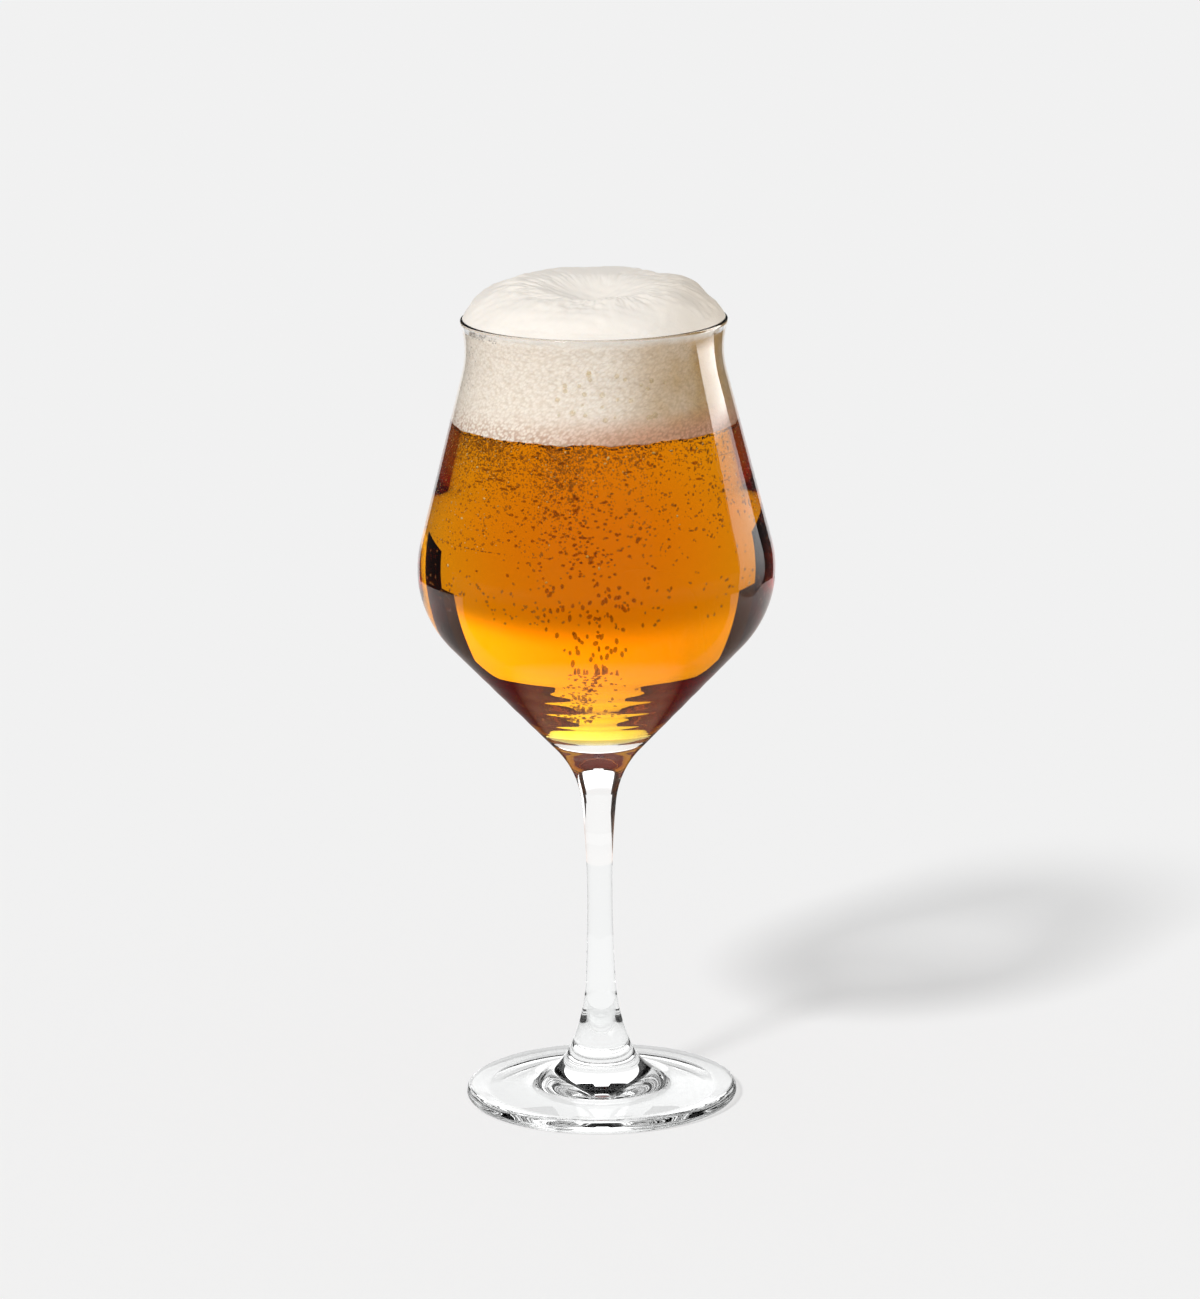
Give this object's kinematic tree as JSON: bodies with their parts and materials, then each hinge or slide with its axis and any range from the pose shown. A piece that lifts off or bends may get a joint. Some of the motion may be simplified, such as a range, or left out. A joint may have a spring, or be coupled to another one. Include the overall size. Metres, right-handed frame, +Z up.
{
  "type": "tulip beer glass",
  "caption": "Stemmed tulip beer glass with a flared lip, wide belly and conical base on a slim stem and round foot, filled with amber beer under a domed head of foam.",
  "frame": {"origin": "centre of the foot's underside, in the plane of the ring that the glass stands on", "axes": "+Z up along the axis that every piece is round about; -Y faces the picture's camera"},
  "size_m": [0.089, 0.089, 0.2088],
  "materials": {
    "glass": "polished",
    "beer": "gloss",
    "foam": "matte"
  },
  "bodies": {
    "root": {"bowl": "glass", "stem": "glass", "foot": "glass", "beer": "beer", "foam_head": "foam"}
  },
  "joints": []
}
